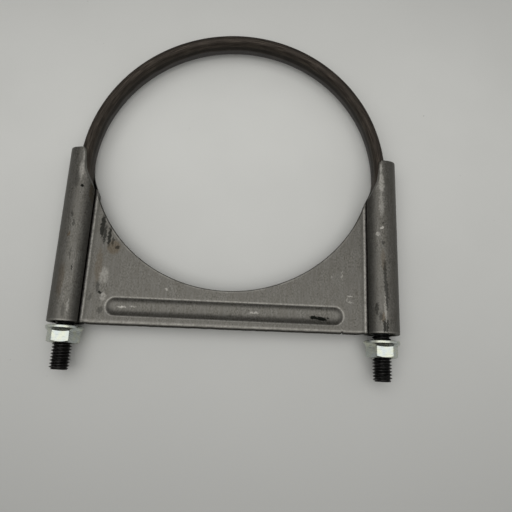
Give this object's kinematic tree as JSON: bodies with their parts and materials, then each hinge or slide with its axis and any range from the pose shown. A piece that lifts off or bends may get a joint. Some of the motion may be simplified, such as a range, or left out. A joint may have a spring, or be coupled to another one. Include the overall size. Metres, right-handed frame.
{
  "type": "saddle u-bolt pipe clamp",
  "caption": "Heavy-duty U-bolt pipe clamp: flattened arch on threaded legs, formed sheet saddle with curled tubes and a bead, and hexagon flange nuts.",
  "frame": {"origin": "middle of the clamp's outline as it lies flat, on the surface that the saddle's two tubes rest on; the legs' plane is 9.15 mm above it and the arch's centre is at +12.3 mm in Y", "axes": "+X from the left leg to the right leg, +Y from the nuts to the crown of the arch, +Z along the pipe's axis, up from the surface"},
  "size_m": [0.179, 0.1943, 0.0183],
  "materials": {
    "mill_scale_steel": "oiled black mill scale, satin",
    "bare_steel": "bare pressed mild steel, scuffed and satin",
    "zinc_plate": "bright clear zinc plate"
  },
  "bodies": {
    "u_bolt": {"u_bolt": "mill_scale_steel"},
    "saddle": {"saddle": "bare_steel"},
    "nut_left": {"flange_nut_left": "zinc_plate"},
    "nut_right": {"flange_nut_right": "zinc_plate"}
  },
  "joints": [
    {"name": "saddle_slide", "type": "slide", "parent": "u_bolt", "child": "saddle", "axis": [0, 1, 0], "range_m": [-0.011, 0.012]},
    {"name": "nut_left_turn", "type": "hinge", "parent": "saddle", "child": "nut_left", "pos_m": [-0.0803, -0.07573, 0.00915], "axis": [0, 1, 0], "range_deg": [-2494.49, 2721.26]},
    {"name": "nut_right_turn", "type": "hinge", "parent": "saddle", "child": "nut_right", "pos_m": [0.0803, -0.07637, 0.00915], "axis": [0, 1, 0], "range_deg": [-2494.49, 2721.26]}
  ],
  "couplings": [
    {"joint": "nut_left_turn", "follows": "saddle_slide", "rad_per_m": 3957.9},
    {"joint": "nut_right_turn", "follows": "saddle_slide", "rad_per_m": 3957.9}
  ]
}
